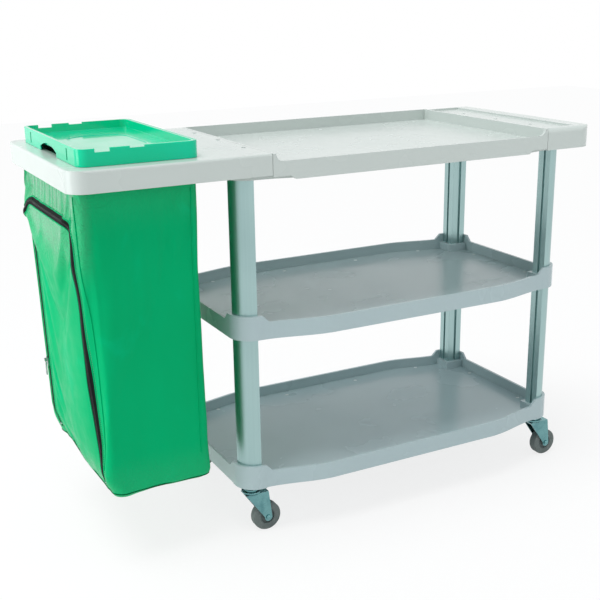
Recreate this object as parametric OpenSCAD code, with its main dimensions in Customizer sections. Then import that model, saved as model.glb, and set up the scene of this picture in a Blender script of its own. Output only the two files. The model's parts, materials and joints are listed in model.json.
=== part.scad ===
// Housekeeping cart: three plastic trays on eight quarter-round posts, a hanging
// zipped bag under a hinged lid, a push-handle end and four swivel casters.
// Millimetres, +Z up, X is the long axis, the bag hangs at -X, floor at Z = 0.

/* [Overall] */
// Length from the bag end to the push-handle end
cart_length = 1420; // [1200:5:1720]
// Width across the long rims
cart_width = 560; // [470:5:680]
// Height of the deck and of the high rims
deck_height = 970; // [800:5:1170]
// Bag platform reach beyond the posts
platform_reach = 390; // [330:5:470]
// Push-handle reach beyond the posts
handle_reach = 64; // [54:1:80]

/* [Shelves] */
// Bottom edge of the middle shelf
mid_shelf_z = 523; // [440:1:630]
// Height of a shelf rim
rim_height = 43; // [36:1:52]
// Depth from rim bottom to floor top
floor_rise = 14; // [12:1:17]
// Rim wall thickness
rim_wall = 7; // [6:0.5:9]
// Skirt and deck wall thickness
skin = 4; // [3.4:0.2:4.8]
// Bulge of the long rims beyond the corner collars
rim_bulge = 34; // [28:1:41]
// Rise of the corner collars above the rim
collar_rise = 17; // [14:1:20]

/* [Posts] */
// Side of the quarter-round post
post_side = 46; // [39:1:56]
// Width of the slot in each inner face
post_slot = 8; // [6.5:0.5:9.5]

/* [Bag] */
// Length of the bag along X at its top
bag_length = 278; // [232:1:300]
// Width of the bag across the cart
bag_width = 480; // [400:5:500]
// Height of the bag bottom above the floor
bag_bottom_z = 188; // [160:1:225]
// Vinyl wall thickness
bag_wall = 2; // [1.6:0.1:2.4]

/* [Lid] */
// Length of the lid along X
lid_length = 275; // [262:1:290]
// Width of the lid across the cart
lid_width = 480; // [440:5:500]
// Height of the lid wall
lid_height = 38; // [32:1:46]

/* [Casters] */
// Wheel diameter
wheel_d = 75; // [62.5:0.5:90]
// Wheel width
wheel_w = 24; // [20:0.5:28]
// Trail from the swivel axis to the axle
trail = 38; // [32:1:45]

/* [Hidden] */
$fn = 96;
fit = 0.15;
gap = 0.5;
run = 0.05;

xc = (platform_reach - handle_reach) / 2;
hx = (cart_length - platform_reach - handle_reach) / 2;
half_w = cart_width / 2;
x_bag_end = -cart_length / 2;
x_handle_end = cart_length / 2;
collar_wall = 8;
collar_in = 10;
plug_head = 1.8;
hy = half_w - rim_bulge - collar_wall;
ix = hx - post_side;
iy = hy - post_side;
ox = hx + collar_wall;
blend_len = 190;

race_z = wheel_d + 43;
collar0 = race_z + 13;
bottom_z = collar0 + 2;
bottom_top = bottom_z + rim_height;
mid_top = mid_shelf_z + rim_height;
tray_z = deck_height - 62;
tray_floor = deck_height - 30;
front_rim = deck_height - 18;
seam_x = xc - hx + 76;
grip_x = xc + hx - 95;
skirt_z = deck_height - 49;

bag_x0 = x_bag_end + 23;
bag_x1 = bag_x0 + bag_length;
bag_top = deck_height - 12;
bag_lean = 50;
face_lean = 16;
bag_swell = 18;
bag_hy = bag_width / 2;
hoop_r = 4;
hem_w = 14;
hem_h = 14;

lid_x0 = x_bag_end + 33;
lid_x1 = lid_x0 + lid_length;
lid_z = deck_height + gap;
lid_hy = lid_width / 2;
hinge_x = lid_x1 + 9;
hinge_z = deck_height + 8;
open_x0 = lid_x0 + 15;
open_x1 = min(lid_x1 - 15, bag_x1 - bag_wall - 26);
open_hy = min(lid_hy - 15, bag_hy - bag_wall - 23);

zip_front = -0.79 * bag_hy;
zip_back = 0.80 * bag_hy;
zip_top = 116;
zip_bottom = 690 * (bag_top - bag_bottom_z) / 770;
zip_r = 90;
slider_s = zip_bottom * 0.80;
knee_s = zip_bottom + 10;
slope = atan2(face_lean, knee_s);

function ease(t) = t <= 0 ? 0 : t >= 1 ? 1 : t * t * (3 - 2 * t);
function rim_y(x) = half_w - rim_bulge * ease((abs(x) - (ix - blend_len)) / blend_len);

// Piece to draw, or all of them

c_grey = [0.74, 0.78, 0.78];
c_pale = [0.84, 0.87, 0.86];
c_alu = [0.72, 0.78, 0.78];
c_green = [0.05, 0.62, 0.36];
c_lid = [0.10, 0.74, 0.55];
c_dark = [0.16, 0.18, 0.18];
c_zinc = [0.70, 0.76, 0.76];
c_tyre = [0.45, 0.50, 0.49];

// ---------------------------------------------------------------- helpers
module rounded(x0, x1, y0, y1, r) {
    translate([x0 + r, y0]) square([x1 - x0 - 2 * r, y1 - y0]);
    translate([x0, y0 + r]) square([x1 - x0, y1 - y0 - 2 * r]);
    for (x = [x0 + r, x1 - r])
        for (y = [y0 + r, y1 - r])
            translate([x, y]) circle(r = r);
}

// a box with rounded plan corners
module slab(x0, x1, y0, y1, z0, z1, r) {
    translate([0, 0, z0]) linear_extrude(z1 - z0) rounded(x0, x1, y0, y1, r);
}

// the same with a rounded top edge all round
module soft_slab(x0, x1, y0, y1, z0, z1, r, t) {
    intersection() {
        slab(x0, x1, y0, y1, z0, z1, r);
        translate([0, y1, 0]) rotate([90, 0, 0]) linear_extrude(y1 - y0)
            union() {
                translate([x0, z0]) square([x1 - x0, z1 - z0 - t]);
                translate([x0 + t, z0]) square([x1 - x0 - 2 * t, z1 - z0]);
                for (x = [x0 + t, x1 - t]) translate([x, z1 - t]) circle(r = t);
            }
        translate([x0, 0, 0]) rotate([90, 0, 90]) linear_extrude(x1 - x0)
            union() {
                translate([y0, z0]) square([y1 - y0, z1 - z0 - t]);
                translate([y0 + t, z0]) square([y1 - y0 - 2 * t, z1 - z0]);
                for (y = [y0 + t, y1 - t]) translate([y, z1 - t]) circle(r = t);
            }
    }
}

module corners() {
    for (sx = [-1, 1])
        for (sy = [-1, 1])
            translate([xc, 0, 0]) scale_signs(sx, sy) children();
}

module scale_signs(sx, sy) {
    mirror([sx < 0 ? 1 : 0, 0, 0]) mirror([0, sy < 0 ? 1 : 0, 0]) children();
}

// ---------------------------------------------------------------- shelves
// plan of a shelf, drawn inward by i
module outline(i) {
    n = 16;
    xs = concat([for (k = [0 : n]) -ix + blend_len * k / n],
                [for (k = [0 : n]) ix - blend_len + blend_len * k / n]);
    square([2 * (ox - i), 2 * iy], center = true);
    for (sx = [-1, 1])
        for (sy = [-1, 1])
            translate([sx * ix, sy * iy]) circle(r = post_side + collar_wall - i);
    polygon(concat([for (x = xs) [x, -(rim_y(x) - i)]],
                   [for (k = [len(xs) - 1 : -1 : 0]) [xs[k], rim_y(xs[k]) - i]]));
}

module post_plan(g) {
    intersection() {
        translate([ix, iy]) circle(r = post_side + g);
        translate([ix - g, iy - g]) square(post_side + 2 * g + 1);
    }
}

// ring round the post, with inner walls that are in thick
module collar_plan(in) {
    intersection() {
        outline(0);
        translate([ix - in, iy - in]) square(post_side + 60);
    }
}

// rim wall that climbs from the rim to the collar
module ramp(z0, z1, zc) {
    intersection() {
        translate([0, 0, z0]) linear_extrude(zc - z0) difference() {
            outline(0);
            outline(rim_wall);
        }
        union() {
            translate([0, half_w + 1, 0]) rotate([90, 0, 0])
                linear_extrude(half_w + 1 - iy + collar_in)
                polygon([[ix - 27, z0], [ix - 27, z1], [ix - collar_in, zc],
                         [ox + 1, zc], [ox + 1, z0]]);
            translate([ix - collar_in, 0, 0]) rotate([90, 0, 90])
                linear_extrude(ox + 1 - ix + collar_in)
                polygon([[iy - 27, z0], [iy - 27, z1], [iy - collar_in, zc],
                         [half_w + 1, zc], [half_w + 1, z0]]);
        }
    }
}

module floor_ribs(z0, z1) {
    for (y = [-0.5 * iy, 0, 0.5 * iy])
        translate([-ox + 6, y - 1.5, z0]) cube([2 * ox - 12, 3, z1 - z0]);
    for (k = [-3 : 3])
        translate([k * hx / 4 - 1.5, -half_w + rim_bulge + 4, z0])
            cube([3, 2 * (half_w - rim_bulge - 4), z1 - z0]);
}

// bored 30 below the floor it opens in, with a recess for the plug's head
module plug_hole() {
    cylinder(d = 6.2, h = 40);
    translate([0, 0, 30 - plug_head - 0.2]) cylinder(d = 12, h = 10);
}

module plug_holes(zf) {
    for (p = plug_spots()) translate([p[0], p[1], zf - 30]) plug_hole();
}

function plug_spots() = concat(
    [for (x = [-0.72 * hx, -0.25 * hx, 0.25 * hx, 0.72 * hx])
        for (s = [-1, 1]) [x, s * (half_w - 34)]],
    [for (y = [-0.62 * iy, 0.62 * iy]) for (s = [-1, 1]) [s * (ox - 22), y]]);

module shelf(z0, c0, web0, web1) {
    z1 = z0 + rim_height;
    zf = z0 + floor_rise;
    zc = z1 + collar_rise;
    translate([xc, 0, 0]) difference() {
        union() {
            difference() {
                translate([0, 0, z0]) linear_extrude(rim_height) outline(0);
                translate([0, 0, zf]) linear_extrude(rim_height) outline(rim_wall);
                translate([0, 0, z0 - 1]) linear_extrude(floor_rise - skin + 1)
                    outline(skin);
            }
            intersection() {
                translate([0, 0, z0]) linear_extrude(floor_rise) outline(1);
                floor_ribs(z0 + 3, zf - 1);
            }
            for (sx = [-1, 1])
                for (sy = [-1, 1])
                    scale_signs(sx, sy) {
                        translate([0, 0, c0]) linear_extrude(zc - c0) collar_plan(0);
                        translate([0, 0, c0]) linear_extrude(web1 - c0)
                            collar_plan(collar_in);
                        ramp(z0, z1, zc);
                    }
        }
        for (sx = [-1, 1])
            for (sy = [-1, 1])
                scale_signs(sx, sy) {
                    translate([0, 0, web1]) linear_extrude(100) post_plan(fit);
                    if (web0 > c0)
                        translate([0, 0, c0 - 1]) linear_extrude(web0 - c0 + 1)
                            post_plan(fit);
                }
        plug_holes(zf);
    }
}

mid_web0 = mid_shelf_z + 30;
mid_web1 = mid_shelf_z + 36;
bottom_web = bottom_z + 36;
tray_web = tray_floor - skin;

module mid_shelf() {
    color(c_grey) shelf(mid_shelf_z, mid_shelf_z, mid_web0, mid_web1);
}

module bottom_shelf() {
    color(c_grey) difference() {
        shelf(bottom_z, collar0, 0, bottom_web);
        corners() translate([ix + post_side * 0.38, iy + post_side * 0.38, collar0 - 1])
            cylinder(d = 11, h = 27);
    }
}

// ---------------------------------------------------------------- top tray
module tray_side_profile() {
    r = 18;
    difference() {
        polygon([[seam_x, tray_z + 9], [seam_x + 46, tray_z + 9], [seam_x + 58, tray_z],
                 [grip_x - 58, tray_z], [grip_x - 46, tray_z + 9], [grip_x, tray_z + 9],
                 [grip_x, deck_height], [seam_x, deck_height]]);
        translate([seam_x + 8 + r, front_rim]) square([grip_x - seam_x - 16 - 2 * r, 40]);
        for (x = [seam_x + 8 + r, grip_x - 8 - r])
            translate([x, front_rim + r]) circle(r = r);
    }
}

module top_tray() {
    color(c_pale) difference() {
        union() {
            translate([xc, 0, 0]) difference() {
                translate([0, 0, tray_z]) linear_extrude(tray_floor - tray_z) outline(0);
                translate([0, 0, tray_z - 1])
                    linear_extrude(tray_floor - tray_z - skin + 1) outline(skin);
            }
            translate([xc, 0, 0]) intersection() {
                translate([0, 0, tray_z]) linear_extrude(tray_floor - tray_z) outline(1);
                floor_ribs(tray_z + 14, tray_floor - 1);
            }
            translate([seam_x, -half_w, tray_floor - skin])
                cube([grip_x - seam_x, cart_width, skin]);
            translate([0, -half_w + rim_wall, 0]) rotate([90, 0, 0])
                linear_extrude(rim_wall) tray_side_profile();
            translate([0, half_w, 0]) rotate([90, 0, 0]) linear_extrude(rim_wall)
                union() {
                    tray_side_profile();
                    translate([seam_x + 1, tray_floor])
                        square([grip_x - seam_x - 2, deck_height - tray_floor]);
                }
            for (x = [seam_x, grip_x - 8])
                translate([x, -half_w, tray_floor - skin])
                    cube([8, cart_width, deck_height - tray_floor + skin]);
            translate([xc, 0, 0]) for (sx = [-1, 1])
                for (sy = [-1, 1])
                    scale_signs(sx, sy) translate([0, 0, tray_z])
                        linear_extrude(tray_floor - tray_z) collar_plan(collar_in);
        }
        corners() translate([0, 0, tray_z - 1])
            linear_extrude(tray_web - tray_z + 1) post_plan(fit);
        for (p = tray_plug_spots()) translate([p[0], p[1], tray_floor - 30])
            plug_hole();
        for (p = screw_spots()) translate([p[0], p[1], tray_floor - skin - 5])
            cylinder(d = 5, h = 24);
    }
}

function tray_plug_spots() = [for (x = [seam_x + 90, xc, grip_x - 70])
    for (s = [-1, 1]) [x, s * (half_w - 40)]];
function screw_spots() = [for (s = [-1, 0, 1]) for (x = [xc - ix + 16, xc + ix - 2])
    [x, s * (iy - 40)]];

// ---------------------------------------------------------------- bag platform
module foot(x, y, a) {
    translate([x, y, 0]) rotate([0, 0, a]) {
        translate([-14, -5.5, bag_top - hem_h - 4]) cube([28, 5, 28]);
        translate([-14, -5.5, bag_top - hem_h - 4]) cube([28, 5.5 + hem_w - 3, 4]);
    }
}

hem_x0 = bag_x0 + bag_wall + hem_w;
hem_x1 = bag_x1 - bag_wall - hem_w;
hem_y = bag_hy - bag_wall - hem_w;

module platform() {
    xe = seam_x - 1.2;
    color(c_pale) difference() {
        union() {
            difference() {
                union() {
                    soft_slab(x_bag_end, xe - 60, -half_w, half_w,
                        skirt_z, deck_height, 42, 5);
                    intersection() {
                        soft_slab(x_bag_end, xe + 60, -half_w, half_w,
                            skirt_z, deck_height, 42, 5);
                        translate([x_bag_end + 60, -half_w - 1, skirt_z - 1])
                            cube([xe - x_bag_end - 60, cart_width + 2, 60]);
                    }
                }
                slab(x_bag_end + skin, xe - 60, -half_w + skin, half_w - skin,
                    skirt_z - 1, deck_height - skin, 38);
                translate([xe - 110, -half_w + skin, skirt_z - 1])
                    cube([111, cart_width - 2 * skin, 49 - skin + 1]);
            }
            for (y = [-iy + 70, 0, iy - 70])
                translate([xc - ox + 6, y - 12, tray_floor]) cube([58, 24, 28]);
            translate([0, 0, deck_height - 22])
                linear_extrude(22 - skin + 1) difference() {
                    rounded(open_x0 - 3, open_x1 + 3, -open_hy - 3, open_hy + 3, 20);
                    rounded(open_x0, open_x1, -open_hy, open_hy, 17);
                }
            for (y = [-hem_y * 0.62, 0, hem_y * 0.62]) {
                foot(hem_x0, y, 90);
                foot(hem_x1, y, -90);
            }
            for (x = [bag_x0 + 0.3 * bag_length, bag_x0 + 0.7 * bag_length]) {
                foot(x, -hem_y, 180);
                foot(x, hem_y, 0);
            }
            for (y = [-1, 1]) for (d = [-1, 1])
                hinge_boss(y * 0.62 * lid_hy + d * 16);
        }
        slab(open_x0, open_x1, -open_hy, open_hy, skirt_z - 40, deck_height + 1, 17);
        for (p = screw_spots()) if (p[0] < xc) translate([p[0], p[1], tray_floor - 1]) {
            cylinder(d = 5, h = 60);
            translate([0, 0, deck_height - tray_floor - 2]) cylinder(d = 10.4, h = 10);
        }
    }
}

module hinge_boss(y) {
    difference() {
        union() {
            translate([hinge_x, y + 4, hinge_z]) rotate([90, 0, 0]) cylinder(r = 6, h = 8);
            translate([hinge_x - 6, y - 4, deck_height - 2]) cube([12, 8, hinge_z - deck_height + 2]);
        }
        translate([hinge_x, y + 5, hinge_z]) rotate([90, 0, 0]) cylinder(r = 3, h = 10);
    }
}

// ---------------------------------------------------------------- push-handle end
module handle_end() {
    xs = grip_x + 1.2;
    bar = 56;
    z0 = deck_height - 57;
    color(c_pale) difference() {
        union() {
            difference() {
                intersection() {
                    soft_slab(xs - 80, x_handle_end, -half_w, half_w, z0, deck_height, 46, 14);
                    translate([xs, -half_w - 1, z0 - 1])
                        cube([x_handle_end - xs, cart_width + 2, 60]);
                }
                translate([xs - 1, -half_w + 24, deck_height - 5])
                    cube([x_handle_end - bar - xs + 1, cart_width - 48, 10]);
                intersection() {
                    slab(xs - 80, x_handle_end - skin, -half_w + skin, half_w - skin,
                        z0 - 1, deck_height - 5 - skin, 42);
                    translate([xs - 1, -half_w, z0 - 2]) cube([400, cart_width, 60]);
                }
            }
            for (y = [-iy + 70, 0, iy - 70])
                translate([xs + 12, y - 12, tray_floor])
                    cube([xc + ox - xs - 18, 24, deck_height - 6 - tray_floor]);
        }
        for (p = screw_spots()) if (p[0] > xc) translate([p[0], p[1], tray_floor - 1]) {
            cylinder(d = 5, h = 60);
            translate([0, 0, deck_height - 5 - tray_floor - 2]) cylinder(d = 10.4, h = 10);
        }
    }
}

module screw(x, y, zhead) {
    translate([x, y, tray_floor - skin - 4]) cylinder(d = 5, h = zhead - tray_floor + skin + 4);
    translate([x, y, zhead - 0.5]) difference() {
        cylinder(d = 10, h = 2.5);
        translate([-3.5, -0.6, 1.3]) cube([7, 1.2, 2]);
        translate([-0.6, -3.5, 1.3]) cube([1.2, 7, 2]);
    }
}

module tray_screws() {
    color(c_zinc) for (p = screw_spots())
        screw(p[0], p[1], p[0] < xc ? deck_height - 0.5 : deck_height - 5.5);
}

// ---------------------------------------------------------------- plugs
module plug(x, y, z) {
    translate([x, y, z - 8]) cylinder(d = 6.2, h = 8 - plug_head);
    translate([x, y, z - plug_head - 0.2]) cylinder(d = 11, h = plug_head - 0.4);
    translate([x, y, z - 0.6]) cylinder(d1 = 11, d2 = 9.6, h = 0.5);
}

module tray_plugs() {
    color(c_pale) for (p = tray_plug_spots()) plug(p[0], p[1], tray_floor);
}

module mid_plugs() {
    color(c_pale) for (p = plug_spots()) plug(xc + p[0], p[1], mid_shelf_z + floor_rise);
}

module bottom_plugs() {
    color(c_pale) for (p = plug_spots()) plug(xc + p[0], p[1], bottom_z + floor_rise);
}

// ---------------------------------------------------------------- posts
module post(sx, sy, z0, z1) {
    m = post_side * 0.52;
    color(c_alu) translate([xc, 0, z0]) scale_signs(sx, sy) linear_extrude(z1 - z0)
        difference() {
            post_plan(0);
            translate([ix + m - post_slot / 2, iy - 1]) square([post_slot, 7]);
            translate([ix - 1, iy + m - post_slot / 2]) square([7, post_slot]);
            intersection() {
                translate([ix, iy]) circle(r = post_side - 3);
                translate([ix + 9.5, iy + 9.5]) square(post_side);
            }
        }
}

module post_low(sx, sy) { post(sx, sy, bottom_web, mid_web0); }
module post_up(sx, sy) { post(sx, sy, mid_web1, tray_web); }

// ---------------------------------------------------------------- lid
module lid() {
    z1 = lid_z + lid_height;
    fl = z1 - 20;
    t = 3;
    color(c_lid) difference() {
        union() {
            difference() {
                soft_slab(lid_x0, lid_x1, -lid_hy, lid_hy, lid_z, z1, 24, 2);
                slab(lid_x0 + t + 5, lid_x1 - t - 9, -lid_hy + t + 3, lid_hy - t - 3,
                    fl, z1 + 1, 18);
                slab(lid_x0 + t, lid_x1 - t, -lid_hy + t, lid_hy - t,
                    lid_z - 1, fl - t, 21);
                slab(lid_x0 + t + 60, lid_x1 - t - 60, -lid_hy + 120, lid_hy - 120,
                    fl - 1.2, fl + 1, 60);
                translate([lid_x1 - 6.5, -lid_hy + 14, z1 - 2]) cube([2, lid_width - 28, 3]);
            }
            for (y = [-1, 1]) lid_knuckle(y * 0.62 * lid_hy);
        }
        translate([lid_x0 + 38, -lid_hy - 1, z1 - 8]) cube([34, lid_width + 2, 10]);
        translate([lid_x0 + 115, -lid_hy - 1, z1 - 4]) cube([34, lid_width + 2, 10]);
        translate([lid_x0 - 1, -70, lid_z - 1]) cube([t + 6, 140, 12]);
        translate([lid_x0 - 1, 0, lid_z + 10]) rotate([0, 90, 0]) arch_cut(t + 6);
        for (y = [-0.66 * lid_hy, 0.66 * lid_hy])
            translate([lid_x0 - 1, y - 4, lid_z + 6]) cube([t + 5, 8, lid_height - 12]);
    }
}

// low finger arch in the outer end wall
module arch_cut(h) {
    intersection() {
        translate([184, 0, 0]) cylinder(r = 197, h = h);
        translate([-14, -70, 0]) cube([14.5, 140, h]);
    }
}

module lid_knuckle(y) {
    difference() {
        union() {
            translate([hinge_x, y + 10, hinge_z]) rotate([90, 0, 0]) cylinder(r = 5.5, h = 20);
            translate([lid_x1 - 2, y - 10, hinge_z - 2]) cube([11, 20, 7.5]);
        }
        translate([hinge_x, y + 11, hinge_z]) rotate([90, 0, 0]) cylinder(r = 3 + run, h = 22);
    }
}

module lid_pins() {
    color(c_zinc) for (s = [-1, 1])
        translate([hinge_x, s * 0.62 * lid_hy + 22, hinge_z]) rotate([90, 0, 0]) {
            cylinder(r = 3, h = 44);
            translate([0, 0, -1.5]) cylinder(r = 4.5, h = 1.5);
            translate([0, 0, 44]) cylinder(r = 4.5, h = 1.5);
        }
}

// ---------------------------------------------------------------- bag
module bag_body(i) {
    r = 36 - i;
    intersection() {
        translate([0, bag_hy - i, 0]) rotate([90, 0, 0]) linear_extrude(2 * (bag_hy - i))
            union() {
                polygon([[bag_x0 + i, bag_top], [bag_x0 + face_lean + i, bag_top - knee_s],
                         [bag_x0 + bag_lean + i, bag_bottom_z + 18 + i / 2],
                         [bag_x0 + bag_lean + 18 + i / 2, bag_bottom_z + i],
                         [bag_x1 + bag_swell - 22, bag_bottom_z + i],
                         [bag_x1 + bag_swell - i, bag_bottom_z + 22],
                         [bag_x1 - i, bag_top]]);
                translate([bag_x1 + bag_swell - 22, bag_bottom_z + 22]) circle(r = 22 - i);
            }
        union() {
            slab(bag_x0 + i, bag_x1 + bag_swell - i, -bag_hy + i, bag_hy - i,
                bag_bottom_z, bag_top, r);
        }
    }
}

module bag() {
    color(c_green) union() {
        difference() {
            bag_body(0);
            translate([0, 0, 0.01]) bag_body(bag_wall);
            translate([bag_x0 + hem_w + bag_wall, -hem_y, bag_top - 30])
                cube([bag_length - 2 * (hem_w + bag_wall), 2 * hem_y, 40]);
        }
        difference() {
            intersection() {
                bag_body(0);
                translate([bag_x0 - 5, -bag_hy - 5, bag_top - hem_h])
                    cube([bag_length + 40, bag_width + 10, hem_h]);
            }
            slab(hem_x0, hem_x1, -hem_y, hem_y, bag_top - 40, bag_top + 1, 20);
            hoop_ring(hoop_r + 0.5);
            translate([0, 0, -20]) hoop_slot();
        }
    }
}

hoop_in = bag_wall + hem_w / 2;

module hoop_ring(r) {
    x0 = bag_x0 + hoop_in + 1;
    x1 = bag_x1 - hoop_in - 1;
    y = bag_hy - hoop_in - 1;
    c = 28;
    z = bag_top - hem_h + hoop_r;
    for (s = [-1, 1])
        translate([x0 + c, s * y, z]) rotate([0, 90, 0]) cylinder(r = r, h = x1 - x0 - 2 * c);
    for (x = [x0, x1])
        translate([x, -y + c, z]) rotate([-90, 0, 0]) cylinder(r = r, h = 2 * y - 2 * c);
    for (k = [[x1 - c, y - c, 0], [x0 + c, y - c, 90], [x0 + c, -y + c, 180], [x1 - c, -y + c, 270]])
        translate([k[0], k[1], z]) rotate([0, 0, k[2]]) rotate_extrude(angle = 90)
            translate([c, 0]) circle(r = r);
}

// opens the hem downward so the bar drops in
module hoop_slot() {
    x0 = bag_x0 + hoop_in + 1;
    x1 = bag_x1 - hoop_in - 1;
    y = bag_hy - hoop_in - 1;
    r = hoop_r + 0.5;
    translate([0, 0, bag_top - hem_h]) linear_extrude(20 + hoop_r) difference() {
        rounded(x0 - r, x1 + r, -y - r, y + r, 28 + r);
        rounded(x0 + r, x1 - r, -y + r, y - r, 28 - r);
    }
}

module bag_hoop() { color(c_zinc) hoop_ring(hoop_r); }

// frame lying on the sloping end face of the bag: +z along the face, -x outward
module on_face() {
    translate([bag_x0, 0, bag_top]) rotate([0, -slope, 0]) children();
}

module bag_piping() {
    color(c_green) {
        for (s = [-1, 1])
            on_face() translate([-1.1, s * (bag_hy - 26), -knee_s + 4])
                cylinder(d = 2.2, h = knee_s - 74);
        for (s = [-1, 1])
            translate([bag_x0 + 62, s * (bag_hy + 1.1), bag_bottom_z + 40])
                cylinder(d = 2.2, h = bag_top - bag_bottom_z - 110);
    }
}

// ---------------------------------------------------------------- zipper
// inverted U drawn in the plane of the end face: x is across, y is down from the hem
module zip_path(w) {
    yb = -zip_bottom;
    yt = -zip_top;
    difference() {
        rounded(zip_front - w / 2, zip_back + w / 2, yb - 200, yt + w / 2, zip_r + w / 2);
        rounded(zip_front + w / 2, zip_back - w / 2, yb - 210, yt - w / 2, zip_r - w / 2);
        translate([zip_front - 50, yb - 300]) square([zip_back - zip_front + 100, 300]);
    }
}

module zip_strip(w, x0, x1) {
    on_face() translate([x0, 0, 0]) rotate([90, 0, 90]) linear_extrude(x1 - x0) zip_path(w);
}

module zip_tape() { color(c_dark) zip_strip(26, -1.2, 0); }
module zip_teeth() { color(c_dark) zip_strip(5, -3.2, -1.2); }

module zip_stops() {
    color(c_zinc) on_face() for (y = [zip_front, zip_back])
        translate([-4.4, y - 4.5, -zip_bottom + 2]) difference() {
            cube([3.2, 9, 6]);
            translate([1.2, 1.9, -1]) cube([3, 5.2, 8]);
        }
}

module zip_slider() {
    color(c_zinc) on_face() translate([0, zip_back, -slider_s]) {
        difference() {
            translate([-6.6, -7, -11]) cube([5.0, 14, 22]);
            translate([-3.8, -3.1, -12]) cube([3, 6.2, 24]);
        }
        difference() {
            translate([-12.6, -3.4, 2]) cube([6.5, 6.8, 7]);
            translate([-13, -1.5, 1]) cube([6.4, 3.0, 9]);
            translate([-9.6, 5, 5.5]) rotate([90, 0, 0]) cylinder(r = 1.0, h = 10);
        }
    }
}

module zip_pin() {
    color(c_zinc) on_face() translate([-9.6, zip_back + 4.4, -slider_s + 5.5])
        rotate([90, 0, 0]) {
            cylinder(r = 1.0, h = 8.8);
            cylinder(r = 1.6, h = 0.9);
            translate([0, 0, 7.9]) cylinder(r = 1.6, h = 0.9);
        }
}

module zip_pull() {
    color(c_zinc) on_face() translate([-9.6, zip_back, -slider_s + 5.5])
        rotate([0, slope, 0]) difference() {
        union() {
            rotate([90, 0, 0]) translate([0, 0, -1.1]) cylinder(r = 2.2, h = 2.2);
            translate([-1.1, -1.1, -8]) cube([2.2, 2.2, 8]);
            translate([-1.1, -4.5, -38]) cube([2.2, 9, 31]);
            translate([-1.1, 0, -38]) rotate([0, 90, 0]) cylinder(r = 4.5, h = 2.2);
        }
        rotate([90, 0, 0]) translate([0, 0, -3]) cylinder(r = 1.0 + run, h = 6);
        translate([-3, 0, -36]) rotate([0, 90, 0]) cylinder(r = 2, h = 6);
    }
}

// ---------------------------------------------------------------- casters
cx = ix + post_side * 0.38;
cy = iy + post_side * 0.38;
axle_z = wheel_d / 2;
hub_r = wheel_d * 0.29;
fork_in = wheel_w / 2 + 3;

module caster_stems() {
    color(c_zinc) for (sx = [-1, 1]) for (sy = [-1, 1])
        translate([xc + sx * cx, sy * cy, 0]) {
            translate([0, 0, race_z + 4]) cylinder(d = 11, h = collar0 + 25 - race_z - 4);
            translate([0, 0, race_z + 6]) cylinder(d = 20, h = collar0 - race_z - 6);
            translate([0, 0, race_z + 0.6]) cylinder(d = 40, h = 5.4);
            translate([0, 0, race_z - 14]) cylinder(d = 9, h = 20);
            translate([0, 0, race_z - 16.5]) cylinder(d = 15, h = 4);
        }
}

module fork(sx, sy) {
    t = 3;
    h0 = race_z - 9;
    color(c_zinc) translate([xc + sx * cx, sy * cy, 0]) difference() {
        union() {
            difference() {
                union() {
                    translate([0, 0, h0]) cylinder(d1 = 40, d2 = 50, h = 6);
                    translate([0, 0, h0 + 6]) cylinder(d = 50, h = 3);
                }
                translate([0, 0, h0 + 6]) cylinder(d = 42, h = 4);
            }
            intersection() {
                translate([0, fork_in + t, 0]) rotate([90, 0, 0])
                    linear_extrude(2 * (fork_in + t)) union() {
                        translate([trail, axle_z]) circle(r = 10.5);
                        polygon([[-22, h0 + 2], [trail - 10.3, axle_z + 2],
                                 [trail + 10.4, axle_z + 1], [trail + 2, h0 + 2]]);
                    }
                union() {
                    for (s = [-1, 1])
                        translate([-60, s * (fork_in + t / 2) - t / 2, 0]) cube([160, t, h0 + 2]);
                    translate([-23, -fork_in - t, h0 - 3]) cube([trail + 26, 2 * (fork_in + t), 5]);
                }
            }
        }
        translate([0, 0, h0 - 20]) cylinder(r = 4.5 + run, h = 60);
        translate([trail, 40, axle_z]) rotate([90, 0, 0]) cylinder(r = 4, h = 80);
    }
}

module axle(sx, sy) {
    color(c_zinc) translate([xc + sx * cx + trail, sy * cy, axle_z]) rotate([90, 0, 0]) {
        translate([0, 0, -fork_in - 3 - 5]) cylinder(r = 4, h = 2 * (fork_in + 3) + 10);
        translate([0, 0, fork_in + 3]) cylinder(d = 13, h = 3);
        translate([0, 0, fork_in + 6]) cylinder(d1 = 13, d2 = 8, h = 2);
        translate([0, 0, -fork_in - 3 - 4]) difference() {
            linear_extrude(4) polygon([for (k = [0 : 5]) [7.5 * cos(60 * k), 7.5 * sin(60 * k)]]);
        }
    }
}

module hub(sx, sy) {
    color(c_grey) translate([xc + sx * cx + trail, sy * cy, axle_z]) rotate([90, 0, 0])
        translate([0, 0, -wheel_w / 2]) difference() {
            union() {
                cylinder(r = hub_r, h = wheel_w);
                translate([0, 0, -2.5]) cylinder(r = 8, h = wheel_w + 5);
            }
            translate([0, 0, -5]) cylinder(r = 4 + run, h = wheel_w + 10);
            for (z = [-1, wheel_w - 4])
                translate([0, 0, z]) difference() {
                    cylinder(r = hub_r - 3, h = 5);
                    translate([0, 0, -1]) cylinder(r = 10, h = 7);
                }
        }
}

module tyre(sx, sy) {
    r = wheel_d / 2;
    w = wheel_w / 2;
    f = 4;
    color(c_tyre) translate([xc + sx * cx + trail, sy * cy, axle_z]) rotate([90, 0, 0])
        rotate_extrude() union() {
            translate([hub_r, -w]) square([r - hub_r - f, 2 * w]);
            translate([hub_r, -w + f]) square([r - hub_r, 2 * w - 2 * f]);
            for (s = [-1, 1]) translate([r - f, s * (w - f)]) circle(r = f);
        }
}

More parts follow.
